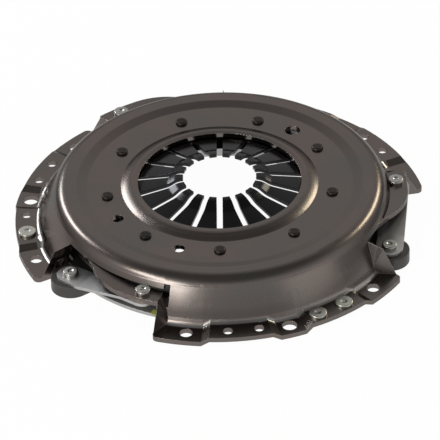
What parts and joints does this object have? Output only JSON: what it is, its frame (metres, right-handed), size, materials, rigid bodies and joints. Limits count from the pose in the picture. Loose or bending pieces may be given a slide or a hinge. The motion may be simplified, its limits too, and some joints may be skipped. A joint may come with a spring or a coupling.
{
  "type": "clutch pressure plate",
  "caption": "Round diaphragm-spring clutch cover assembly: pressed steel cover with stepped bolt flanges, slotted spring fingers and a cast pressure plate hung on leaf straps.",
  "frame": {"origin": "on the clutch axis, in the plane where the cover's bolt pads meet the flywheel", "axes": "+Z along the clutch axis towards the release bearing; -Y is the side facing the viewer in the picture"},
  "size_m": [0.2887, 0.2921, 0.0384],
  "materials": {
    "cover_steel": "oiled dark satin pressed steel",
    "spring_steel": "phosphated near-black spring steel",
    "cast_iron": "cast grey iron, ground on the friction face",
    "ring_wire": "drawn spring wire",
    "black_rivet": "blackened steel",
    "strap_steel": "blued spring strip",
    "strap_rivet": "plain steel",
    "zinc_rivet": "zinc plated, bright"
  },
  "bodies": {
    "cover": {"cover": "cover_steel", "diaphragm_spring": "spring_steel", "upper_fulcrum_ring": "ring_wire", "lower_fulcrum_ring": "ring_wire", "spacer_rivet_1": "black_rivet", "spacer_rivet_2": "black_rivet", "spacer_rivet_3": "black_rivet", "spacer_rivet_4": "black_rivet", "spacer_rivet_5": "black_rivet", "spacer_rivet_6": "black_rivet", "spacer_rivet_7": "black_rivet", "spacer_rivet_8": "black_rivet", "spacer_rivet_9": "black_rivet", "strap_1_leaf_1": "strap_steel", "strap_1_leaf_2": "strap_steel", "strap_1_leaf_3": "strap_steel", "strap_2_leaf_1": "strap_steel", "strap_2_leaf_2": "strap_steel", "strap_2_leaf_3": "strap_steel", "strap_3_leaf_1": "strap_steel", "strap_3_leaf_2": "strap_steel", "strap_3_leaf_3": "strap_steel", "strap_cover_rivet_1": "strap_rivet", "strap_cover_rivet_2": "strap_rivet", "strap_cover_rivet_3": "strap_rivet", "balance_rivet_1": "zinc_rivet", "balance_rivet_2": "zinc_rivet", "balance_rivet_3": "zinc_rivet"},
    "plate": {"pressure_plate": "cast_iron", "strap_plate_rivet_1": "strap_rivet", "strap_plate_rivet_2": "strap_rivet", "strap_plate_rivet_3": "strap_rivet"}
  },
  "joints": [
    {"name": "plate_lift", "type": "slide", "parent": "cover", "child": "plate", "axis": [0, 0, 1], "range_m": [0, 0.0025], "stiffness_N_per_m": 4000, "springref_m": -0.002, "deforming": ["diaphragm_spring", "strap_1_leaf_1", "strap_1_leaf_2", "strap_1_leaf_3", "strap_2_leaf_1", "strap_2_leaf_2", "strap_2_leaf_3", "strap_3_leaf_1", "strap_3_leaf_2", "strap_3_leaf_3"]}
  ]
}
